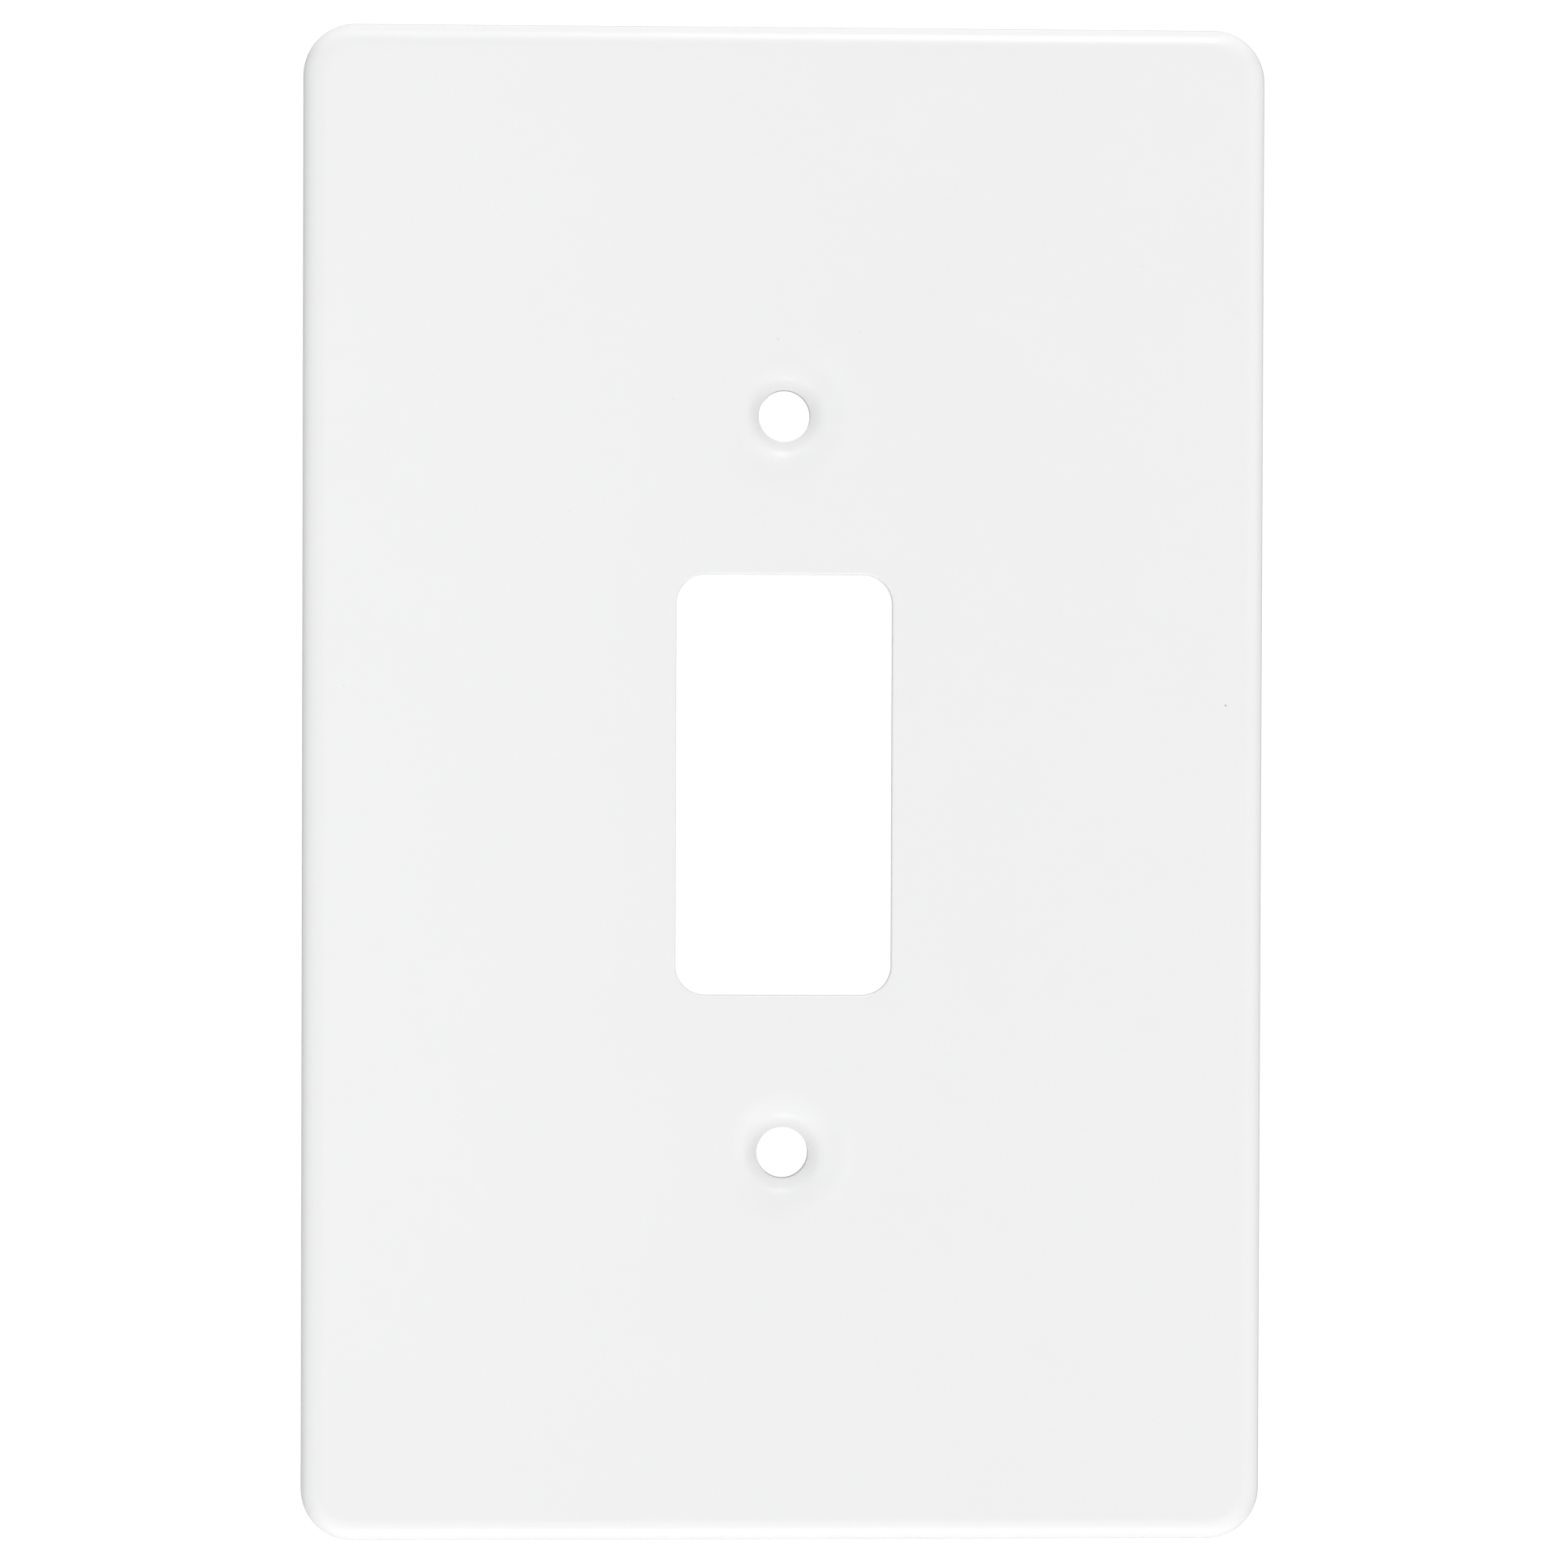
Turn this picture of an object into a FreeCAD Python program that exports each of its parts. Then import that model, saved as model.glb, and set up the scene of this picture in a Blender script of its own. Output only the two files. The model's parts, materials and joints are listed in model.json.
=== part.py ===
import FreeCAD, Part
import math
import os
import Sketcher

# A one-gang wall plate cover: a shallow tray pressed from a single piece of thin sheet steel.
# Its front edge is rolled back all round to the wall, a tall opening in the middle lets the
# face of the switch or outlet through, and a dimple above and below it seats an oval-head screw.
#
# Frame, in millimetres: the plate hangs on a wall. +Z is up, +X is to the right of someone who
# faces the plate, and +Y points into the wall. The wall is the plane Y = 0, where the plate's
# rear rim lies, and the origin is the middle of the plate on that plane.

NODE = "cover_plate"

# name, value, meaning. Lengths are in millimetres and angles in degrees.
SIZES = (
    ("plate_width", 78.6, "outside width, along X"),
    ("plate_height", 123.8, "outside height, along Z"),
    ("plate_depth", 5.5, "from the wall to the front face, along Y"),
    ("sheet_gauge", 0.9, "thickness of the sheet"),
    ("corner_round", 4.25, "outside radius of the four corners, seen from the front"),
    ("roll_radius", 2.0, "outside radius of the rolled front edge"),
    ("opening_width", 17.6, "device opening, along X"),
    ("opening_height", 34.3, "device opening, along Z"),
    ("opening_round", 2.4, "radius of the device opening's corners"),
    ("screw_spacing", 60.325, "between the two screw holes, along Z"),
    ("screw_bore", 4.2, "diameter of a screw hole"),
    ("dimple_radius", 6.1, "radius round a screw where the face begins to dip"),
    ("dish_bend", 6.0, "front radius of the dimple's wide outer bend"),
    ("dish_angle", 26.0, "slope of the face where the outer bend ends"),
    ("seat_bend", 2.2, "front radius of the dimple's tight inner bend"),
    ("head_angle", 82.0, "included angle of the screw head that the dimple seats"),
    ("punch_round", 0.25, "rolled-over front edge of the punched openings"),
    ("rim_round", 0.15, "broken edges of the rear rim"),
)

CUT_CLEARANCE = 1.0  # how far a cutting profile stands proud of the face that it cuts
TOUCHING = 1e-4  # places closer together than this are the same place
ORIGIN, VERTICAL_AXIS = -1, -2  # Sketcher's numbers for a sketch's origin and vertical axis
START, END, CENTRE = 1, 2, 3  # Sketcher's numbers for the points of an edge
NORMAL = FreeCAD.Vector(0, 0, 1)  # of every sketch, in its own frame


# ------------------------------------------------------------ the document


def make_sheet(doc):
    """The driving dimensions, a row each: name, value, meaning."""
    sheet = doc.addObject("Spreadsheet::Sheet", "sizes")
    for row, (name, value, meaning) in enumerate(SIZES, start=1):
        sheet.set(f"A{row}", name)
        sheet.set(f"B{row}", str(value))
        sheet.set(f"C{row}", meaning)
        sheet.setAlias(f"B{row}", name)
    doc.recompute()
    return sheet


def make_body(doc):
    """The empty body of the one sub-part."""
    body = doc.addObject("PartDesign::Body", NODE)
    body.Label = NODE
    body.Placement = FreeCAD.Placement()
    return body


def origin_plane(body, role):
    """One of the body's own three base planes."""
    return next(item for item in body.Origin.OriginFeatures if item.Role == role)


def make_sketch(body, name, role):
    """An empty sketch on one of the body's base planes."""
    sketch = body.newObject("Sketcher::SketchObject", name)
    sketch.AttachmentSupport = [(origin_plane(body, role), "")]
    sketch.MapMode = "FlatFace"
    return sketch


def make_feature(body, kind, name, profile=None):
    """A new feature of the body, from a sketch if one is given."""
    feature = body.newObject(f"PartDesign::{kind}", name)
    if profile:
        feature.Profile = profile
    return feature


# ------------------------------------------------------------ sketches


def relate(sketch, kind, *where):
    sketch.addConstraint(Sketcher.Constraint(kind, *where))


def bind(sketch, name, expression, kind, *where):
    """A dimension of the sketch that the sheet drives. The last of where is its first value."""
    index = sketch.addConstraint(Sketcher.Constraint(kind, *where))
    sketch.renameConstraint(index, name)
    sketch.setExpression(f"Constraints.{name}", expression)


def polar(centre, radius, angle):
    """The point of a circle at this angle, in radians."""
    return centre + FreeCAD.Vector(math.cos(angle), math.sin(angle), 0) * radius


def add_line(sketch, start, end, construction=False):
    return sketch.addGeometry(Part.LineSegment(start, end), construction)


def add_arc(sketch, centre, radius, start, end):
    """An arc that runs anticlockwise from one angle to another, in radians."""
    circle = Part.Circle(centre, NORMAL, radius)
    return sketch.addGeometry(Part.ArcOfCircle(circle, start, end), False)


def draw_rounded_rectangle(sketch, sheet, width, height, corner):
    """A rectangle with round corners about the origin, from three names in the sheet."""
    wide, high, rounding = (sheet.get(name) for name in (width, height, corner))
    quarter = math.pi / 2
    across, up = wide / 2 - rounding, high / 2 - rounding
    centres = [
        FreeCAD.Vector(x * across, y * up, 0) for x, y in ((1, 1), (-1, 1), (-1, -1), (1, -1))
    ]
    arcs = [
        add_arc(sketch, centre, rounding, i * quarter, (i + 1) * quarter)
        for i, centre in enumerate(centres)
    ]
    lines = [
        add_line(
            sketch,
            polar(centre, rounding, (i + 1) * quarter),
            polar(centres[(i + 1) % 4], rounding, (i + 1) * quarter),
        )
        for i, centre in enumerate(centres)
    ]
    top, left, bottom, right = lines
    for i, arc in enumerate(arcs):
        relate(sketch, "Tangent", arc, END, lines[i], START)
        relate(sketch, "Tangent", lines[i - 1], END, arc, START)
    for line in (top, bottom):
        relate(sketch, "Horizontal", line)
    for line in (left, right):
        relate(sketch, "Vertical", line)
    for arc in arcs[1:]:
        relate(sketch, "Equal", arcs[0], arc)
    relate(sketch, "Symmetric", arcs[0], CENTRE, arcs[2], CENTRE, ORIGIN, START)
    bind(sketch, "width", f"sizes.{width}", "DistanceX", left, START, right, START, wide)
    bind(sketch, "height", f"sizes.{height}", "DistanceY", bottom, START, top, START, high)
    bind(sketch, "corner", f"sizes.{corner}", "Radius", arcs[0], rounding)


def draw_screw_circle(sketch, sheet):
    """The upper screw hole."""
    high, bore = sheet.get("screw_spacing") / 2, sheet.get("screw_bore")
    circle = sketch.addGeometry(Part.Circle(FreeCAD.Vector(0, high, 0), NORMAL, bore / 2), False)
    relate(sketch, "PointOnObject", circle, CENTRE, VERTICAL_AXIS)
    place = (ORIGIN, START, circle, CENTRE, high)
    bind(sketch, "height", "sizes.screw_spacing / 2", "DistanceY", *place)
    bind(sketch, "bore", "sizes.screw_bore", "Diameter", circle, bore)


def draw_dimple(sketch, sheet, base, inset):
    """Half of the upper dimple's section, from the screw's axis outwards.

    The sketch's horizontal is Y and its vertical is Z. From the flat of the face the curve
    bends gently to the dish angle, then tightly to the slope of the screw's head, and runs
    down that slope until it is inside the bore, which is cut later. base is how far in front
    of the wall the section's flat side stands, and inset how far behind the plate's front
    surface its curve lies. Each is an expression for the sheet and its first value.
    """
    base_rule, base_depth = base
    inset_rule, inset_depth = inset
    depth, reach = sheet.get("plate_depth"), sheet.get("dimple_radius")
    outer, inner = sheet.get("dish_bend") - inset_depth, sheet.get("seat_bend") - inset_depth
    outer_end = math.radians(sheet.get("dish_angle"))
    inner_end = math.radians(90 - sheet.get("head_angle") / 2)
    high, stub = sheet.get("screw_spacing") / 2, sheet.get("screw_bore") / 4

    outer_centre = FreeCAD.Vector(sheet.get("dish_bend") - depth, high + reach, 0)
    inner_centre = polar(outer_centre, outer - inner, math.pi + outer_end)
    seat = polar(inner_centre, inner, math.pi + inner_end)
    fall = (seat.y - high - stub) * math.tan(inner_end)
    foot = FreeCAD.Vector(seat.x + fall, high + stub, 0)
    floor = FreeCAD.Vector(foot.x, high, 0)
    head = FreeCAD.Vector(-base_depth, high, 0)
    shoulder = FreeCAD.Vector(-base_depth, high + reach, 0)

    axis = add_line(sketch, floor, head, construction=True)
    middle = add_line(sketch, floor, head)
    flat = add_line(sketch, head, shoulder)
    side = add_line(sketch, shoulder, polar(outer_centre, outer, math.pi))
    dish = add_arc(sketch, outer_centre, outer, math.pi, math.pi + outer_end)
    bend = add_arc(sketch, inner_centre, inner, math.pi + outer_end, math.pi + inner_end)
    slope = add_line(sketch, seat, foot)
    bottom = add_line(sketch, foot, floor)

    loop = ((middle, flat), (flat, side), (side, dish), (slope, bottom), (bottom, middle))
    for first, second in loop:
        relate(sketch, "Coincident", first, END, second, START)
    for first, second in ((dish, bend), (bend, slope)):
        relate(sketch, "Tangent", first, END, second, START)
    for end in (START, END):
        relate(sketch, "Coincident", axis, end, middle, end)
    for line in (middle, side):
        relate(sketch, "Horizontal", line)
    for line in (flat, bottom):
        relate(sketch, "Vertical", line)
    relate(sketch, "PointOnObject", dish, CENTRE, side)

    screw_rule, skin_rule = "sizes.screw_spacing / 2", f"sizes.plate_depth - {inset_rule}"
    turn_rule = "90 - sizes.head_angle / 2 - sizes.dish_angle"
    bind(sketch, "screw", screw_rule, "DistanceY", ORIGIN, START, flat, START, high)
    bind(sketch, "base", base_rule, "DistanceX", flat, START, ORIGIN, START, base_depth)
    bind(sketch, "reach", "sizes.dimple_radius", "DistanceY", flat, START, flat, END, reach)
    bind(sketch, "skin", skin_rule, "DistanceX", side, END, ORIGIN, START, depth - inset_depth)
    bind(sketch, "outer_bend", f"sizes.dish_bend - {inset_rule}", "Radius", dish, outer)
    bind(sketch, "inner_bend", f"sizes.seat_bend - {inset_rule}", "Radius", bend, inner)
    bind(sketch, "outer_turn", "sizes.dish_angle", "Angle", dish, outer_end)
    bind(sketch, "inner_turn", turn_rule, "Angle", bend, inner_end - outer_end)
    bind(sketch, "stub", "sizes.screw_bore / 4", "DistanceY", bottom, END, bottom, START, stub)


# ------------------------------------------------------------ faces and edges of the solid


def lies_at(piece, depth):
    """Whether an edge or a face lies flat in the plane this far in front of the wall."""
    box = piece.BoundBox
    return abs(box.YMin + depth) < TOUCHING and abs(box.YMax + depth) < TOUCHING


def pick(shape, kind, test):
    """The names of the solid's faces or edges that pass a test."""
    pieces = enumerate(getattr(shape, f"{kind}s"), start=1)
    names = [f"{kind}{i}" for i, piece in pieces if test(piece)]
    if not names:
        raise RuntimeError(f"no {kind} passes the test")
    return names


def in_opening(edge, sheet):
    """Whether an edge is part of the device opening's outline on the front face."""
    box = edge.BoundBox
    wide, high = sheet.get("opening_width") / 2, sheet.get("opening_height") / 2
    inside = -wide - TOUCHING < box.XMin and box.XMax < wide + TOUCHING
    inside = inside and -high - TOUCHING < box.ZMin and box.ZMax < high + TOUCHING
    return inside and lies_at(edge, sheet.get("plate_depth"))


def is_screw_rim(edge, sheet):
    """Whether an edge is one of the circles where a screw hole ends."""
    curve = edge.Curve
    round_edge = isinstance(curve, Part.Circle)
    return round_edge and abs(curve.Radius - sheet.get("screw_bore") / 2) < TOUCHING


# ------------------------------------------------------------ the cover plate


def press_tray(body, sheet):
    """The shallow tray: a rounded slab whose front edge is rolled, then hollowed from behind."""
    outline = make_sketch(body, "outline", "XZ_Plane")
    draw_rounded_rectangle(outline, sheet, "plate_width", "plate_height", "corner_round")
    blank = make_feature(body, "Pad", "blank", outline)
    blank.setExpression("Length", "sizes.plate_depth")
    body.Document.recompute()

    depth = sheet.get("plate_depth")
    front = pick(blank.Shape, "Edge", lambda edge: lies_at(edge, depth))
    roll = make_feature(body, "Fillet", "edge_roll")
    roll.Base = (blank, front)
    roll.setExpression("Radius", "sizes.roll_radius")
    body.Document.recompute()

    back = pick(roll.Shape, "Face", lambda face: lies_at(face, 0))
    tray = make_feature(body, "Thickness", "tray")
    tray.Base = (roll, back)
    tray.Mode = "Skin"
    tray.Join = "Arc"
    tray.Reversed = True
    tray.setExpression("Value", "sizes.sheet_gauge")
    body.Document.recompute()


def press_dimples(body, sheet):
    """A dimple round each screw: its back is added to the sheet, then its front is taken away."""
    depth, gauge = sheet.get("plate_depth"), sheet.get("sheet_gauge")
    swell_sketch = make_sketch(body, "dimple_back", "YZ_Plane")
    middle = ("sizes.plate_depth - sizes.sheet_gauge / 2", depth - gauge / 2)
    draw_dimple(swell_sketch, sheet, middle, ("sizes.sheet_gauge", gauge))
    swell = make_feature(body, "Revolution", "dimple_swell", swell_sketch)
    swell.ReferenceAxis = (swell_sketch, ["Axis0"])

    dish_sketch = make_sketch(body, "dimple_front", "YZ_Plane")
    proud = (f"sizes.plate_depth + {CUT_CLEARANCE}", depth + CUT_CLEARANCE)
    draw_dimple(dish_sketch, sheet, proud, ("0", 0))
    dish = make_feature(body, "Groove", "dimple_dish", dish_sketch)
    dish.ReferenceAxis = (dish_sketch, ["Axis0"])

    circle = make_sketch(body, "screw_circle", "XZ_Plane")
    draw_screw_circle(circle, sheet)
    bore = make_feature(body, "Pocket", "screw_hole", circle)
    bore.Type = "ThroughAll"
    bore.Midplane = True
    body.Document.recompute()

    pair = make_feature(body, "Mirrored", "lower_screw")
    pair.Originals = [swell, dish, bore]
    pair.MirrorPlane = (origin_plane(body, "XY_Plane"), [""])
    body.Tip = pair
    body.Document.recompute()


def punch_opening(body, sheet):
    """The opening for the face of the switch or outlet."""
    outline = make_sketch(body, "opening_outline", "XZ_Plane")
    names = ("opening_width", "opening_height", "opening_round")
    draw_rounded_rectangle(outline, sheet, *names)
    opening = make_feature(body, "Pocket", "device_opening", outline)
    opening.Type = "ThroughAll"
    opening.Midplane = True
    body.Document.recompute()


def break_edges(body, sheet):
    """The punch rolls the front edges of the openings over, and the rear rim is deburred."""
    pierced = body.Tip
    shape = pierced.Shape
    opening = pick(shape, "Edge", lambda edge: in_opening(edge, sheet))
    circles = [edge for edge in shape.Edges if is_screw_rim(edge, sheet)]
    seat = -min(edge.BoundBox.YMin for edge in circles)
    screws = pick(shape, "Edge", lambda edge: is_screw_rim(edge, sheet) and lies_at(edge, seat))
    punched = make_feature(body, "Fillet", "punched_edges")
    punched.Base = (pierced, opening + screws)
    punched.setExpression("Radius", "sizes.punch_round")
    body.Document.recompute()

    rim = pick(punched.Shape, "Edge", lambda edge: lies_at(edge, 0))
    deburred = make_feature(body, "Fillet", "rim_edges")
    deburred.Base = (punched, rim)
    deburred.setExpression("Radius", "sizes.rim_round")
    body.Document.recompute()


def make_cover_plate(doc, sheet):
    """The whole sub-part, in the order in which a press makes it."""
    body = make_body(doc)
    for step in (press_tray, press_dimples, punch_opening, break_edges):
        step(body, sheet)
    return body


# ------------------------------------------------------------ tests and files


def check_feature(feature):
    """Stops if a feature's shape is faulty, or if it left the volume of its base as it was."""
    shape, base = feature.Shape, feature.BaseFeature
    if shape.isNull() or not shape.isValid():
        raise RuntimeError(f"{feature.Name} has no valid shape")
    if not base:
        return
    change = shape.Volume - base.Shape.Volume
    if abs(change) < TOUCHING:
        raise RuntimeError(f"{feature.Name} changes nothing")
    if feature.TypeId in ("PartDesign::Pocket", "PartDesign::Groove") and change > 0:
        raise RuntimeError(f"{feature.Name} adds where it should cut")


def check_document(doc):
    """Stops if any object of the document failed."""
    failed = [item.Name for item in doc.Objects if {"Invalid", "Error"} & set(item.State)]
    if failed:
        raise RuntimeError(f"failed: {failed}")
    for item in doc.Objects:
        if item.isDerivedFrom("PartDesign::Feature"):
            check_feature(item)


def write_solid(body):
    """Writes a sub-part's file, once it is sure to be one valid solid."""
    shape = body.Shape
    if shape.isNull() or not shape.isValid() or len(shape.Solids) != 1:
        raise RuntimeError(f"{body.Label} isn't one valid solid")
    os.makedirs("parts", exist_ok=True)
    shape.exportStep(f"parts/{body.Label}.step")
    print(f"{body.Label}: {shape.Volume:.1f} mm3 of steel")


def main():
    doc = FreeCAD.newDocument("wall_plate_cover")
    sheet = make_sheet(doc)
    body = make_cover_plate(doc, sheet)
    check_document(doc)
    write_solid(body)


main()
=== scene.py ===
import json
import math

import bmesh
import bpy
from mathutils import Matrix, Vector


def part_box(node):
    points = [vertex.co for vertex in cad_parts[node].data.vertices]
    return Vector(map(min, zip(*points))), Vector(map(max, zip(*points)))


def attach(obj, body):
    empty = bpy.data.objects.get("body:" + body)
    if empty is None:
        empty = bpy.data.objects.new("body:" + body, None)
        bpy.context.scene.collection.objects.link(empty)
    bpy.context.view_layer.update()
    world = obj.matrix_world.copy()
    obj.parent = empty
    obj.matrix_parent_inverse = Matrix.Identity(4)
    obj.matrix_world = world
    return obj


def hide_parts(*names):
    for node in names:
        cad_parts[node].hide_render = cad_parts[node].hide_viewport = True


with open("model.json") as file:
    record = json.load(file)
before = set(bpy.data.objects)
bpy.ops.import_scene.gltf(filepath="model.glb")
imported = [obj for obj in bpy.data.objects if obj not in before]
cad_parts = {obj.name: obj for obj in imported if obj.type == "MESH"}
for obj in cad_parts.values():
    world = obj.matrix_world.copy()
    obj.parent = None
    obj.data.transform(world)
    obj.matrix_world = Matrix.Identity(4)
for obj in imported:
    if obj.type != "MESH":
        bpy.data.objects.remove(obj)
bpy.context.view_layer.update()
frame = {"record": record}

# A one-gang wall plate cover, pressed from thin sheet steel and powder coated white.
# Metres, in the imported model's frame: +Z up, +X to the right of someone facing the plate, and
# +Y into the wall. The wall is the plane Y = 0 and the front face looks along -Y.

MM = 0.001
NODE = "cover_plate"

PLATE_LOW, PLATE_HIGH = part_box(NODE)
HALF_WIDTH = (PLATE_HIGH.x - PLATE_LOW.x) / 2
HALF_HEIGHT = (PLATE_HIGH.z - PLATE_LOW.z) / 2
DEPTH = -PLATE_LOW.y

MOUNTS = {mount["name"]: mount for mount in frame["record"]["mounts"]}
SCREWS = MOUNTS["cover_screws"]["dims"]
SCREW_HEIGHT = SCREWS["spacing_y_mm"] / 2 * MM
BORE_RADIUS = SCREWS["hole_r_mm"] * MM

# The sheet and how it is bent, as in the CAD model
GAUGE = 0.9 * MM
CORNER_ROUND = 4.25 * MM  # outside, seen from the front
ROLL_RADIUS = 2.0 * MM  # outside of the rolled front edge
OPENING_HALF_WIDTH = 8.8 * MM
OPENING_HALF_HEIGHT = 17.15 * MM
OPENING_ROUND = 2.4 * MM
DIMPLE_RADIUS = 6.1 * MM  # where the face begins to dip
DISH_BEND = 6.0 * MM  # front radius of the dimple's wide outer bend
DISH_SLOPE = math.radians(26)  # of the face where that bend ends
SEAT_BEND = 2.2 * MM  # front radius of the tight inner bend
SEAT_SLOPE = math.radians(49)  # of the seat that an 82 degree screw head rests on
PUNCH_ROUND = 0.25 * MM  # front edge of the punched openings, under the coat
BACK_ROUND = 0.1 * MM  # their rear edge, as the coat softens it
RIM_ROUND = 0.15 * MM  # both edges of the rear rim
CROWN = 0.12 * MM  # how far the face falls from its middle to its corners

# The mesh
GRID_STEP = 0.75 * MM  # of the flat of the sheet
DIMPLE_BLOCK = 8.2 * MM  # half the side of the square patch round a dimple
OPENING_BLOCK = 2.4 * MM  # how far the opening's patch reaches past the opening
BORDER = 4.0 * MM  # width of the flat's outermost patch
QUARTER = math.pi / 2

# How many steps each part of a section has
ROLL_STEPS = 18
REAR_ROLL_STEPS = 12
SKIRT_STEPS = 5
RIM_STEPS = 4
CUT_EDGE_STEPS = 7
REAR_CUT_EDGE_STEPS = 4
DISH_STEPS = 16
SEAT_BEND_STEPS = 10
SEAT_STEPS = 5
BORE_EDGE_STEPS = 6
REAR_SEAT_BEND_STEPS = 6
REAR_DISH_STEPS = 12
REAR_BORE_EDGE_STEPS = 7
REAR_SEAT_STEPS = 6

# Steps round half a corner of each rounded outline
CORNER_STEPS = 8
OPENING_CORNER_STEPS = 7


# ------------------------------------------------------------ outlines


def spread(breaks):
    """Grid lines through all the breaks, evenly spaced between each two."""
    lines = [breaks[0]]
    for low, high in zip(breaks, breaks[1:]):
        count = 2 * math.ceil((high - low) / GRID_STEP / 2)
        lines += [low + (high - low) * i / count for i in range(1, count + 1)]
    return lines


def block_loop(xs, zs, back):
    """The outline of a block of the grid, anticlockwise from its top right corner."""
    top = [(x, zs[-1]) for x in reversed(xs[1:])]
    left = [(xs[0], z) for z in reversed(zs[1:])]
    bottom = [(x, zs[0]) for x in xs[:-1]]
    right = [(xs[-1], z) for z in zs[:-1]]
    return [Vector((x, back - DEPTH, z)) for x, z in top + left + bottom + right]


def rounded_loop(middle, half_width, half_height, rounding, counts, turn, back):
    """A rounded rectangle with as many points as a block's outline, which meet it one to one.

    counts holds the points along the top and along a side, and turn those of half a corner.
    It starts halfway round the top right corner. A rounding of the whole half width is a circle.
    """
    across, up = half_width - rounding, half_height - rounding
    signs = ((1, 1), (-1, 1), (-1, -1), (1, -1))
    centres = [Vector((x * across, back - DEPTH, middle + z * up)) for x, z in signs]

    def on_corner(corner, angle):
        arm = Vector((math.cos(angle), 0, math.sin(angle)))
        return centres[corner % 4] + arm * rounding

    points = []
    for side in range(4):
        count = counts[side % 2]
        facing = QUARTER * (side + 1)
        for i in range(count):
            if i <= turn:
                points.append(on_corner(side, facing - QUARTER / 2 * (1 - i / turn)))
            elif i < count - turn:
                share = (i - turn) / (count - 2 * turn)
                start, end = on_corner(side, facing), on_corner(side + 1, facing)
                points.append(start.lerp(end, share))
            else:
                share = (i - count + turn) / turn
                points.append(on_corner(side + 1, facing + QUARTER / 2 * share))
    return points


def between(first, last, shares):
    """Loops part of the way from one loop to another."""
    return [[a.lerp(b, share) for a, b in zip(first, last)] for share in shares]


def arc(centre, radius, start, end, steps):
    """Points of a section, as (across, back), where angle 0 faces the viewer and 90 degrees -across."""
    angles = [start + (end - start) * i / steps for i in range(steps + 1)]
    across, back = centre
    return [(across - radius * math.sin(a), back - radius * math.cos(a)) for a in angles]


def straight(first, last, steps):
    """Points of a section between two others, neither of them included."""
    shares = [i / steps for i in range(1, steps)]
    return [tuple(a + (b - a) * share for a, b in zip(first, last)) for share in shares]


# ------------------------------------------------------------ sections through the sheet


def edge_section():
    """From the flat of the face round the rolled edge, the skirt and the rim to the flat behind.

    Each point is how far it lies inside the plate's outline and behind its front face.
    """
    centre = (ROLL_RADIUS, ROLL_RADIUS)
    low = DEPTH - RIM_ROUND
    outer = arc(centre, ROLL_RADIUS, 0, QUARTER, ROLL_STEPS)
    inner = arc(centre, ROLL_RADIUS - GAUGE, QUARTER, 0, REAR_ROLL_STEPS)
    outer_skirt = straight((0, ROLL_RADIUS), (0, low), SKIRT_STEPS)
    inner_skirt = straight((GAUGE, low), (GAUGE, ROLL_RADIUS), SKIRT_STEPS)
    outer_rim = arc((RIM_ROUND, low), RIM_ROUND, QUARTER, 2 * QUARTER, RIM_STEPS)
    inner_rim = arc((GAUGE - RIM_ROUND, low), RIM_ROUND, 2 * QUARTER, 3 * QUARTER, RIM_STEPS)
    return outer + outer_skirt + outer_rim + inner_rim + inner_skirt + inner


def opening_section():
    """Through the punched opening. Each point is how far it lies outside the opening's outline."""
    front = arc((PUNCH_ROUND, PUNCH_ROUND), PUNCH_ROUND, 0, QUARTER, CUT_EDGE_STEPS)
    centre = (BACK_ROUND, GAUGE - BACK_ROUND)
    return front + arc(centre, BACK_ROUND, QUARTER, 2 * QUARTER, REAR_CUT_EDGE_STEPS)


def dimple_bends(inset):
    """The dimple's two bends, this far behind the front surface: centre, radius and slopes."""
    outer = (DIMPLE_RADIUS, DISH_BEND)
    shift = DISH_BEND - SEAT_BEND
    inner = (outer[0] - shift * math.sin(DISH_SLOPE), outer[1] - shift * math.cos(DISH_SLOPE))
    return (
        (outer, DISH_BEND - inset, 0, DISH_SLOPE),
        (inner, SEAT_BEND - inset, DISH_SLOPE, SEAT_SLOPE),
    )


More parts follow.
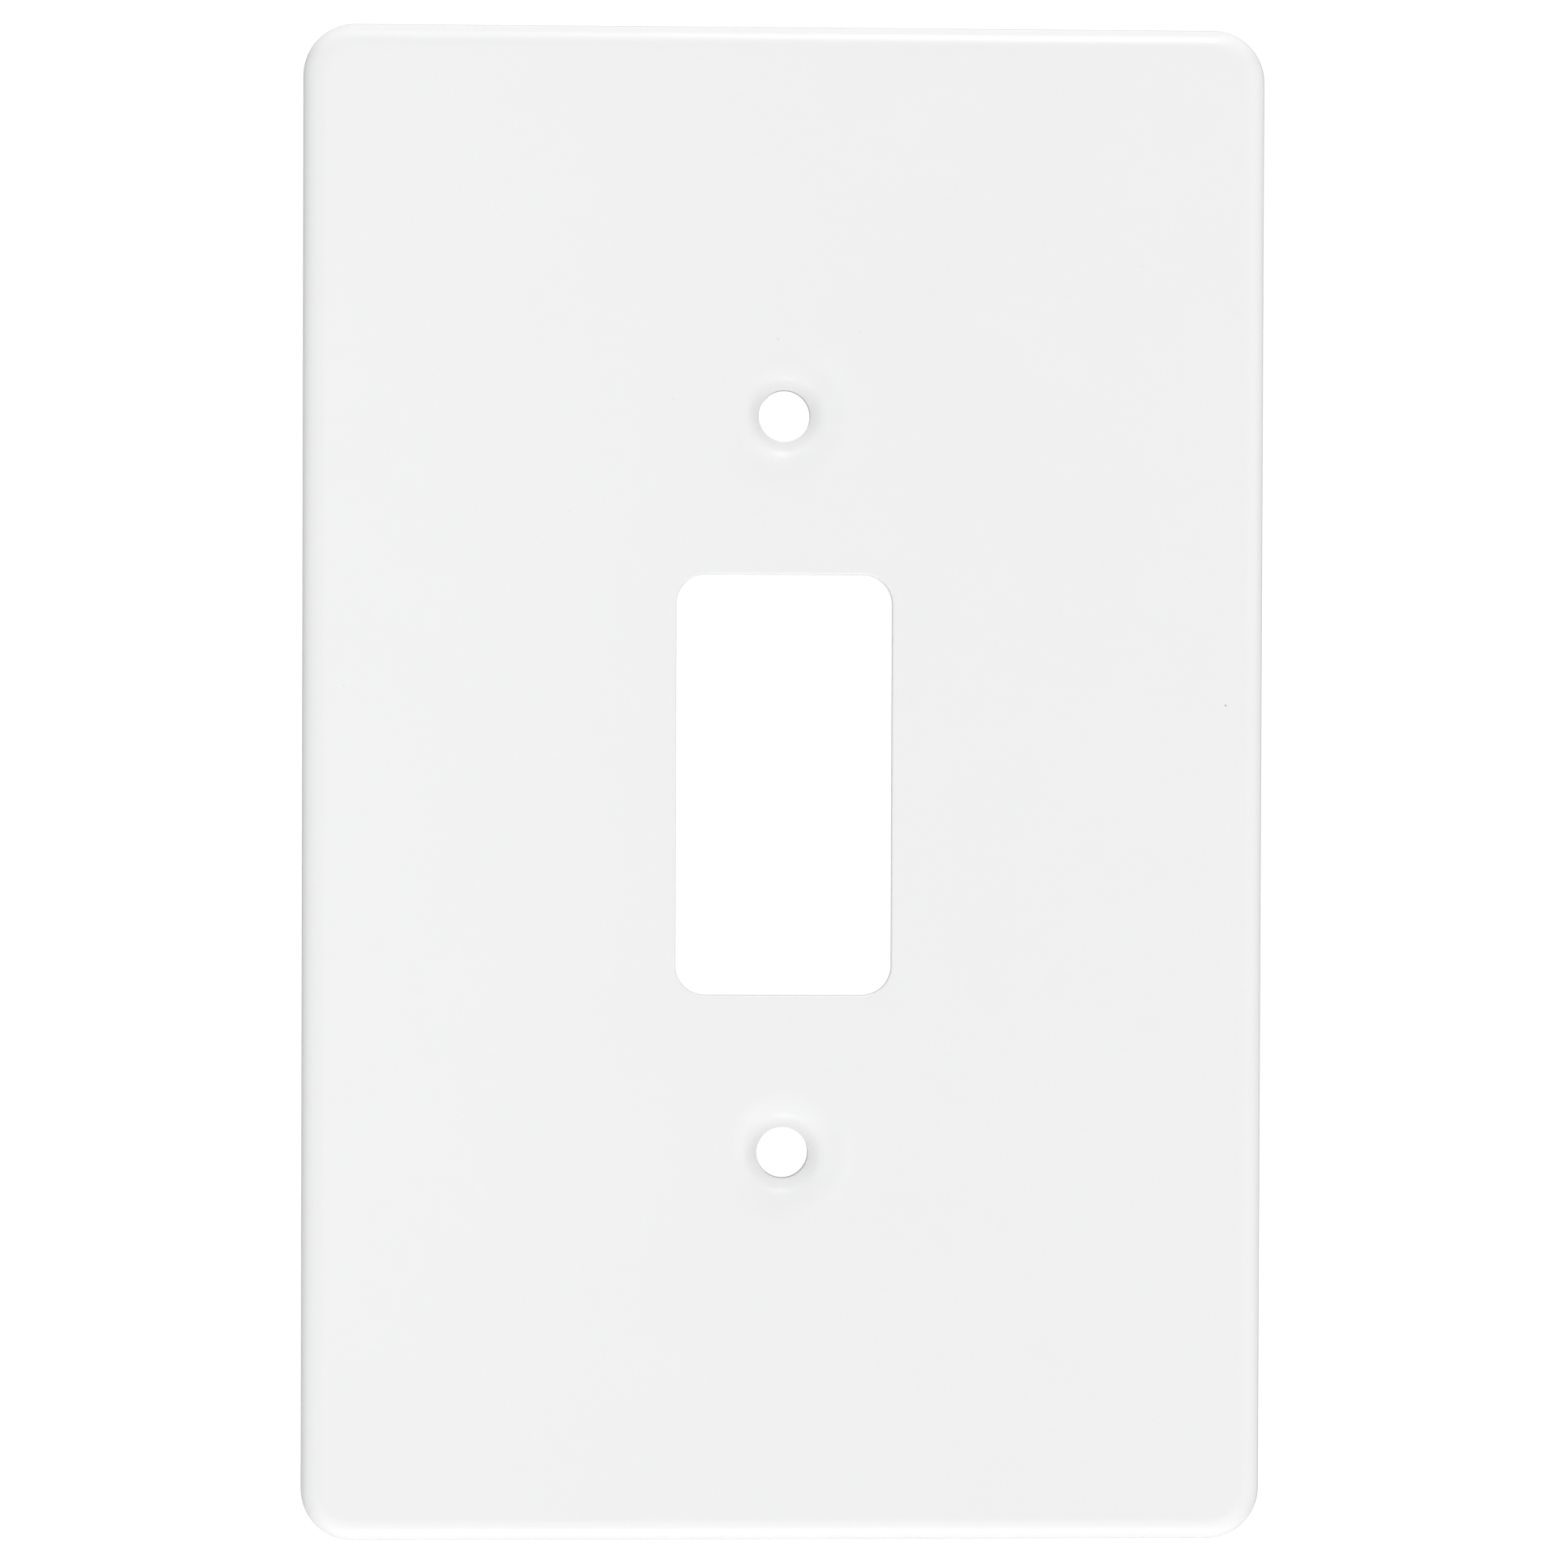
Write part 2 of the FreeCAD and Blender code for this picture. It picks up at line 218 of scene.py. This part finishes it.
def dimple_section():
    """Down the dimple, through the bore and back up behind, as (radius, distance behind the face)."""
    fall = math.tan(SEAT_SLOPE)
    (dish, dish_radius, *dish_turn), (seat, seat_radius, *seat_turn) = dimple_bends(0)
    front = arc(dish, dish_radius, *dish_turn, DISH_STEPS)
    front += arc(seat, seat_radius, *seat_turn, SEAT_BEND_STEPS)[1:]
    top, top_back = front[-1]
    edge = BORE_RADIUS + PUNCH_ROUND
    start = edge - PUNCH_ROUND * math.sin(SEAT_SLOPE)
    start_back = top_back + (top - start) * fall
    edge_back = start_back + PUNCH_ROUND * math.cos(SEAT_SLOPE)
    front += straight((top, top_back), (start, start_back), SEAT_STEPS)
    front += arc((edge, edge_back), PUNCH_ROUND, SEAT_SLOPE, QUARTER, BORE_EDGE_STEPS)

    (dish, dish_radius, *dish_turn), (seat, seat_radius, *seat_turn) = dimple_bends(GAUGE)
    behind = arc(seat, seat_radius, *reversed(seat_turn), REAR_SEAT_BEND_STEPS)
    behind += arc(dish, dish_radius, *reversed(dish_turn), REAR_DISH_STEPS)[1:]
    top, top_back = behind[0]
    edge = BORE_RADIUS + BACK_ROUND
    start = edge + BACK_ROUND * math.sin(SEAT_SLOPE)
    start_back = top_back + (top - start) * fall
    edge_back = start_back - BACK_ROUND * math.cos(SEAT_SLOPE)
    rear_turn = (QUARTER, 2 * QUARTER + SEAT_SLOPE)
    rear = arc((edge, edge_back), BACK_ROUND, *rear_turn, REAR_BORE_EDGE_STEPS)
    cone = straight((start, start_back), (top, top_back), REAR_SEAT_STEPS)
    return front + rear + cone + behind


# ------------------------------------------------------------ the mesh of the sheet


class Net:
    """The grid of the sheet's flat, with a block left out of it round each opening."""

    def __init__(self):
        flat_x, flat_z = HALF_WIDTH - ROLL_RADIUS, HALF_HEIGHT - ROLL_RADIUS
        inner_x, inner_z = flat_x - BORDER, flat_z - BORDER
        hole_x, hole_z = OPENING_HALF_WIDTH + OPENING_BLOCK, OPENING_HALF_HEIGHT + OPENING_BLOCK
        low, high = SCREW_HEIGHT - DIMPLE_BLOCK, SCREW_HEIGHT + DIMPLE_BLOCK
        self.xs = spread([-inner_x, -hole_x, -DIMPLE_BLOCK, DIMPLE_BLOCK, hole_x, inner_x])
        self.zs = spread([-inner_z, -high, -low, -hole_z, hole_z, low, high, inner_z])
        self.opening = self.block(-hole_x, hole_x, -hole_z, hole_z)
        self.dimples = [
            self.block(-DIMPLE_BLOCK, DIMPLE_BLOCK, low, high),
            self.block(-DIMPLE_BLOCK, DIMPLE_BLOCK, -high, -low),
        ]

    def block(self, left, right, low, high):
        """The grid lines of a block, its edges included."""
        near = GRID_STEP * 1e-3
        xs = [x for x in self.xs if left - near < x < right + near]
        zs = [z for z in self.zs if low - near < z < high + near]
        return xs, zs

    def left_out(self, x, z):
        return any(
            xs[0] < x < xs[-1] and zs[0] < z < zs[-1] for xs, zs in [self.opening, *self.dimples]
        )

    def add_grid(self, bm, back):
        """The flat between the blocks, this far behind the front face."""
        rows = [[bm.verts.new((x, back - DEPTH, z)) for x in self.xs] for z in self.zs]
        for j, (low, high) in enumerate(zip(self.zs, self.zs[1:])):
            for i, (left, right) in enumerate(zip(self.xs, self.xs[1:])):
                if not self.left_out((left + right) / 2, (low + high) / 2):
                    corners = (rows[j][i], rows[j][i + 1], rows[j + 1][i + 1], rows[j + 1][i])
                    bm.faces.new(corners)


def add_tube(bm, loops):
    """Quads between each two loops of a row of loops."""
    rings = [[bm.verts.new(point) for point in loop] for loop in loops]
    for first, second in zip(rings, rings[1:]):
        for i in range(len(first)):
            bm.faces.new((first[i - 1], first[i], second[i], second[i - 1]))


def lined_tube(bm, lines, section, loop_at, shares):
    """A tube through the sheet, tied to the grid's block in front and behind."""
    xs, zs = lines
    loops = [loop_at(across, back) for across, back in section]
    front, behind = block_loop(xs, zs, 0), block_loop(xs, zs, GAUGE)
    before = between(front, loops[0], shares)
    after = between(loops[-1], behind, [1 - share for share in reversed(shares)])
    add_tube(bm, [front, *before, *loops, *after, behind])


def add_edge(bm, net):
    """The rolled edge, skirt and rim, out from the grid's own outline."""
    counts = (len(net.xs) - 1, len(net.zs) - 1)

    def loop_at(inside, back):
        sizes = [size - inside for size in (HALF_WIDTH, HALF_HEIGHT, CORNER_ROUND)]
        return rounded_loop(0, *sizes, counts, CORNER_STEPS, back)

    lined_tube(bm, (net.xs, net.zs), edge_section(), loop_at, (0.25, 0.5, 0.75, 0.93))


def add_opening(bm, net):
    """The device opening's cut edge."""
    counts = tuple(len(lines) - 1 for lines in net.opening)
    outline = (OPENING_HALF_WIDTH, OPENING_HALF_HEIGHT, OPENING_ROUND)

    def loop_at(outside, back):
        sizes = [size + outside for size in outline]
        return rounded_loop(0, *sizes, counts, OPENING_CORNER_STEPS, back)

    lined_tube(bm, net.opening, opening_section(), loop_at, (0.3, 0.6, 0.9))


def add_dimple(bm, lines, height):
    """A screw's dimple and bore."""
    counts = tuple(len(line) - 1 for line in lines)
    turn = counts[0] // 2

    def loop_at(radius, back):
        return rounded_loop(height, radius, radius, radius, counts, turn, back)

    lined_tube(bm, lines, dimple_section(), loop_at, (0.3, 0.6, 0.85))


def crown(point):
    """Where a point of the flat-faced plate lies once its face is slightly crowned."""
    spread_out = (point.x / HALF_WIDTH) ** 2 + (point.z / HALF_HEIGHT) ** 2
    share = CROWN / DEPTH * spread_out / 2
    return Vector((point.x, point.y * (1 - share), point.z))


def make_plate():
    """The whole sheet as one closed mesh of quads."""
    bm = bmesh.new()
    net = Net()
    for back in (0, GAUGE):
        net.add_grid(bm, back)
    add_edge(bm, net)
    add_opening(bm, net)
    for lines, height in zip(net.dimples, (SCREW_HEIGHT, -SCREW_HEIGHT)):
        add_dimple(bm, lines, height)
    bmesh.ops.remove_doubles(bm, verts=bm.verts, dist=1e-3 * MM)
    loose = [vert for vert in bm.verts if not vert.link_faces]
    bmesh.ops.delete(bm, geom=loose, context="VERTS")
    bmesh.ops.recalc_face_normals(bm, faces=bm.faces)
    for vert in bm.verts:
        vert.co = crown(vert.co)
    mesh = bpy.data.meshes.new("plate_shell")
    bm.to_mesh(mesh)
    bm.free()
    mesh.shade_smooth()
    plate = bpy.data.objects.new("plate_shell", mesh)
    bpy.context.collection.objects.link(plate)
    weighted = plate.modifiers.new("weighted", "WEIGHTED_NORMAL")
    weighted.keep_sharp = False
    return plate


# ------------------------------------------------------------ materials


class Shader:
    """A material's node tree, with short ways to add and join nodes."""

    def __init__(self, name):
        self.material = bpy.data.materials.new(name)
        self.material.use_nodes = True
        self.tree = self.material.node_tree
        self.surface = self.tree.nodes["Principled BSDF"]
        self.place = self.add("ShaderNodeTexCoord").outputs["Object"]

    def add(self, kind, **settings):
        """A new node with these settings."""
        node = self.tree.nodes.new(kind)
        for name, value in settings.items():
            setattr(node, name, value)
        return node

    def join(self, source, target):
        self.tree.links.new(source, target)

    def noise(self, size, detail):
        """Soft noise whose blotches are about this many metres across."""
        node = self.add("ShaderNodeTexNoise")
        node.inputs["Scale"].default_value = 1 / size
        node.inputs["Detail"].default_value = detail
        self.join(self.place, node.inputs["Vector"])
        return node.outputs["Fac"]

    def fade(self, source, low, high, new_low, new_high):
        """Takes a value smoothly from one range to another, clamped."""
        node = self.add("ShaderNodeMapRange", interpolation_type="SMOOTHSTEP")
        self.join(source, node.inputs["Value"])
        ends = {"From Min": low, "From Max": high, "To Min": new_low, "To Max": new_high}
        for name, value in ends.items():
            node.inputs[name].default_value = value
        return node.outputs["Result"]

    def ramp(self, source, stops):
        """Two colours along a value."""
        node = self.add("ShaderNodeValToRGB")
        for element, (position, colour) in zip(node.color_ramp.elements, stops):
            element.position = position
            element.color = (*colour, 1)
        self.join(source, node.inputs["Fac"])
        return node.outputs["Color"]

    def bump(self, height, distance):
        """Relief this many metres high."""
        node = self.add("ShaderNodeBump")
        node.inputs["Distance"].default_value = distance
        self.join(height, node.inputs["Height"])
        return node.outputs["Normal"]


WHITE = (0.86, 0.86, 0.86)
DUST = (0.10, 0.10, 0.11)
MOTTLE_SIZE = 9 * MM
MOTTLE_DETAIL = 3
MOTTLE_SHADE = 0.995  # the darkest of the coat against its white
PEEL_SIZE = 1.6 * MM  # of the orange peel's bumps
PEEL_HEIGHT = 0.0025 * MM
COAT_ROUGHNESS = 0.29
COAT_IOR = 1.5
SPECK_CORE = 0.4  # the share of a speck's radius within which it is at its darkest

# Specks of dust under the coat of the face. Each has its place across and up the plate and its
# radius, in millimetres, and how much of the coat's white it hides.
SPECKS = (
    (36.1, 6.6, 0.13, 0.60),
    (-4.0, 31.4, 0.14, 0.16),
    (-0.6, 36.3, 0.12, 0.14),
    (-9.1, 31.4, 0.10, 0.10),
    (6.1, 36.9, 0.10, 0.10),
    (29.1, 42.4, 0.12, 0.12),
    (32.2, 56.7, 0.12, 0.10),
    (-25.2, 22.4, 0.10, 0.10),
    (-17.5, 22.2, 0.10, 0.12),
    (-35.8, 8.0, 0.12, 0.12),
    (3.5, -33.3, 0.12, 0.16),
    (2.0, -27.3, 0.10, 0.12),
)


def add_specks(shader, colour):
    """Darkens the coat's colour where the specks are."""
    for across, up, radius, share in SPECKS:
        offset = shader.add("ShaderNodeVectorMath", operation="DISTANCE")
        shader.join(shader.place, offset.inputs[0])
        offset.inputs[1].default_value = (across * MM, -DEPTH, up * MM)
        edge = radius * MM
        mask = shader.fade(offset.outputs["Value"], edge, SPECK_CORE * edge, 0, share)
        mix = shader.add("ShaderNodeMix", data_type="RGBA")
        shader.join(mask, mix.inputs["Factor"])
        shader.join(colour, mix.inputs[6])
        mix.inputs[7].default_value = (*DUST, 1)
        colour = mix.outputs[2]
    return colour


def powder_coat():
    """Satin white powder coat: faint orange peel and hardly any mottling."""
    shader = Shader("powder_coat")
    shade = tuple(part * MOTTLE_SHADE for part in WHITE)
    mottle = shader.noise(MOTTLE_SIZE, MOTTLE_DETAIL)
    tint = shader.ramp(mottle, ((0.3, shade), (0.7, WHITE)))
    peel = shader.bump(shader.noise(PEEL_SIZE, 0), PEEL_HEIGHT)
    shader.join(add_specks(shader, tint), shader.surface.inputs["Base Color"])
    shader.join(peel, shader.surface.inputs["Normal"])
    shader.surface.inputs["Roughness"].default_value = COAT_ROUGHNESS
    shader.surface.inputs["IOR"].default_value = COAT_IOR
    return shader.material


# ------------------------------------------------------------ stage, lights and camera

FLOOR_DROP = 0.62  # from the plate's middle to the floor
FLOOR_RADIUS = 2.6
FLOOR_COLOUR = (0.86, 0.86, 0.86, 1)
FLOOR_ROUGHNESS = 0.9
FLOOR_LIGHT_SPREAD = math.radians(60)
FLOOR_LIGHT = 3.6  # of the sun that lights nothing but the floor
WORLD_LIGHT = 0.12
BACKDROP_WHITE = 1.05  # just over white, so that the backdrop is pure white
LIGHT_DISTANCE = 0.5

# The soft boxes round the plate. Each has a name, its azimuth and elevation seen from the plate in
# degrees (azimuth 0 is straight in front of it and 90 is its right), its width and height in
# metres, its radiance where white is 1, and its colour where that isn't white.
LIGHTS = (
    ("overhead_middle", 0, 68, 0.36, 0.40, 0.45),
    ("overhead_left", -60, 58, 0.40, 0.40, 0.96),
    ("overhead_right", 60, 58, 0.40, 0.40, 1.08),
    ("overhead_spot", 18, 70, 0.10, 0.24, 4.2),
    ("overhead_rear", 180, 60, 1.0, 0.50, 0.72),
    ("low_middle", 0, -70, 0.36, 0.40, 0.55),
    ("low_left", -60, -58, 0.40, 0.40, 1.15),
    ("low_right", 60, -58, 0.40, 0.40, 1.12),
    ("low_spot", -10, -80, 0.10, 0.20, 3.8),
    ("low_rear", 180, -60, 1.0, 0.50, 0.66),
    ("front_high", 0, 38, 1.0, 0.15, 0.42),
    ("front_low", 0, -38, 1.0, 0.15, 1.28),
    ("front_wall_left", -24, 6, 0.42, 0.40, 0.6),
    ("front_wall_right", 27, 6, 0.42, 0.40, 0.34),
    ("front_left", -8, 0, 0.10, 0.30, 1.4),
    ("front_right", 16, 0, 0.12, 0.30, 0.58),
    ("left_wall", -65, 0, 0.50, 0.55, 0.96, (0.98, 0.99, 1)),
    ("right_bank", 65, 0, 0.46, 0.55, 1.06),
    ("right_rear", 105, 0, 0.50, 0.55, 0.5),
)

# The camera stands in front of the plate, a little to its left and above its middle
CAMERA_DISTANCE = 0.4
CAMERA_YAW = math.radians(2.0)
CAMERA_PITCH = math.radians(0.8)
CAMERA_ROLL = math.radians(0.19)
SENSOR = 36.0
FOCAL_RATIO = 3.13
CAMERA_LIFT = 0.09 * MM  # of the point that it looks at, over the plate's middle


def make_floor():
    """A round pale floor below the plate."""
    bm = bmesh.new()
    bmesh.ops.create_circle(bm, cap_ends=True, segments=128, radius=FLOOR_RADIUS)
    bmesh.ops.translate(bm, verts=bm.verts, vec=(0, 0, -FLOOR_DROP))
    mesh = bpy.data.meshes.new("floor")
    bm.to_mesh(mesh)
    bm.free()
    floor = bpy.data.objects.new("floor", mesh)
    bpy.context.collection.objects.link(floor)
    shader = Shader("pale_floor")
    shader.surface.inputs["Base Color"].default_value = FLOOR_COLOUR
    shader.surface.inputs["Roughness"].default_value = FLOOR_ROUGHNESS
    mesh.materials.append(shader.material)
    # it throws no light back at the plate
    floor.visible_diffuse = False
    floor.visible_glossy = False
    return floor


def light_floor(floor):
    """A soft sun from above that lights the floor alone, so that it stays pale."""
    data = bpy.data.lights.new("floor_light", "SUN")
    data.energy = FLOOR_LIGHT
    data.angle = FLOOR_LIGHT_SPREAD
    light = bpy.data.objects.new("floor_light", data)
    bpy.context.collection.objects.link(light)
    lit = bpy.data.collections.new("lit_by_floor_light")
    lit.objects.link(floor)
    light.light_linking.receiver_collection = lit


def direction(azimuth, elevation):
    """From the plate towards this place, in degrees."""
    turn, rise = math.radians(azimuth), math.radians(elevation)
    level = math.cos(rise)
    return Vector((math.sin(turn) * level, -math.cos(turn) * level, math.sin(rise)))


def make_light(name, azimuth, elevation, width, height, radiance, tint=(1, 1, 1)):
    """A soft box that faces the plate."""
    data = bpy.data.lights.new(name, "AREA")
    data.shape = "RECTANGLE"
    data.size, data.size_y = width, height
    data.energy = radiance * math.pi * width * height
    data.color = tint
    light = bpy.data.objects.new(name, data)
    bpy.context.collection.objects.link(light)
    away = direction(azimuth, elevation)
    light.location = away * LIGHT_DISTANCE
    light.rotation_mode = "QUATERNION"
    light.rotation_quaternion = (-away).to_track_quat("-Z", "Y")
    light.visible_camera = False


def make_world():
    """Even light from all round, and a white backdrop."""
    world = bpy.data.worlds.new("studio")
    bpy.context.scene.world = world
    world.use_nodes = True
    tree = world.node_tree
    light = tree.nodes["Background"]
    light.inputs["Color"].default_value = (1, 1, 1, 1)
    light.inputs["Strength"].default_value = WORLD_LIGHT
    white = tree.nodes.new("ShaderNodeBackground")
    white.inputs["Color"].default_value = (1, 1, 1, 1)
    white.inputs["Strength"].default_value = BACKDROP_WHITE
    rays = tree.nodes.new("ShaderNodeLightPath")
    mix = tree.nodes.new("ShaderNodeMixShader")
    tree.links.new(rays.outputs["Is Camera Ray"], mix.inputs[0])
    tree.links.new(light.outputs[0], mix.inputs[1])
    tree.links.new(white.outputs[0], mix.inputs[2])
    tree.links.new(mix.outputs[0], tree.nodes["World Output"].inputs["Surface"])


def make_camera():
    """A long lens, almost straight in front of the plate."""
    data = bpy.data.cameras.new("camera")
    data.sensor_width = SENSOR
    data.lens = SENSOR * FOCAL_RATIO
    data.clip_start, data.clip_end = 0.01, 20
    camera = bpy.data.objects.new("camera", data)
    bpy.context.collection.objects.link(camera)
    level = math.cos(CAMERA_PITCH)
    aside, front = math.sin(CAMERA_YAW) * level, math.cos(CAMERA_YAW) * level
    back = Vector((-aside, -front, math.sin(CAMERA_PITCH)))
    target = Vector((0, -DEPTH, CAMERA_LIFT))
    camera.rotation_mode = "QUATERNION"
    turn = (-back).to_track_quat("-Z", "Y").to_matrix()
    roll = Matrix.Rotation(CAMERA_ROLL, 3, "Z")
    camera.rotation_quaternion = (turn @ roll).to_quaternion()
    camera.location = target + back * CAMERA_DISTANCE
    bpy.context.scene.camera = camera


# ------------------------------------------------------------ the scene

plate = make_plate()
plate.data.materials.append(powder_coat())
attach(plate, "root")
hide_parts(NODE)

light_floor(make_floor())
make_world()
for light in LIGHTS:
    make_light(*light)
make_camera()

view = bpy.context.scene.view_settings
view.view_transform = "Standard"
view.look = "None"
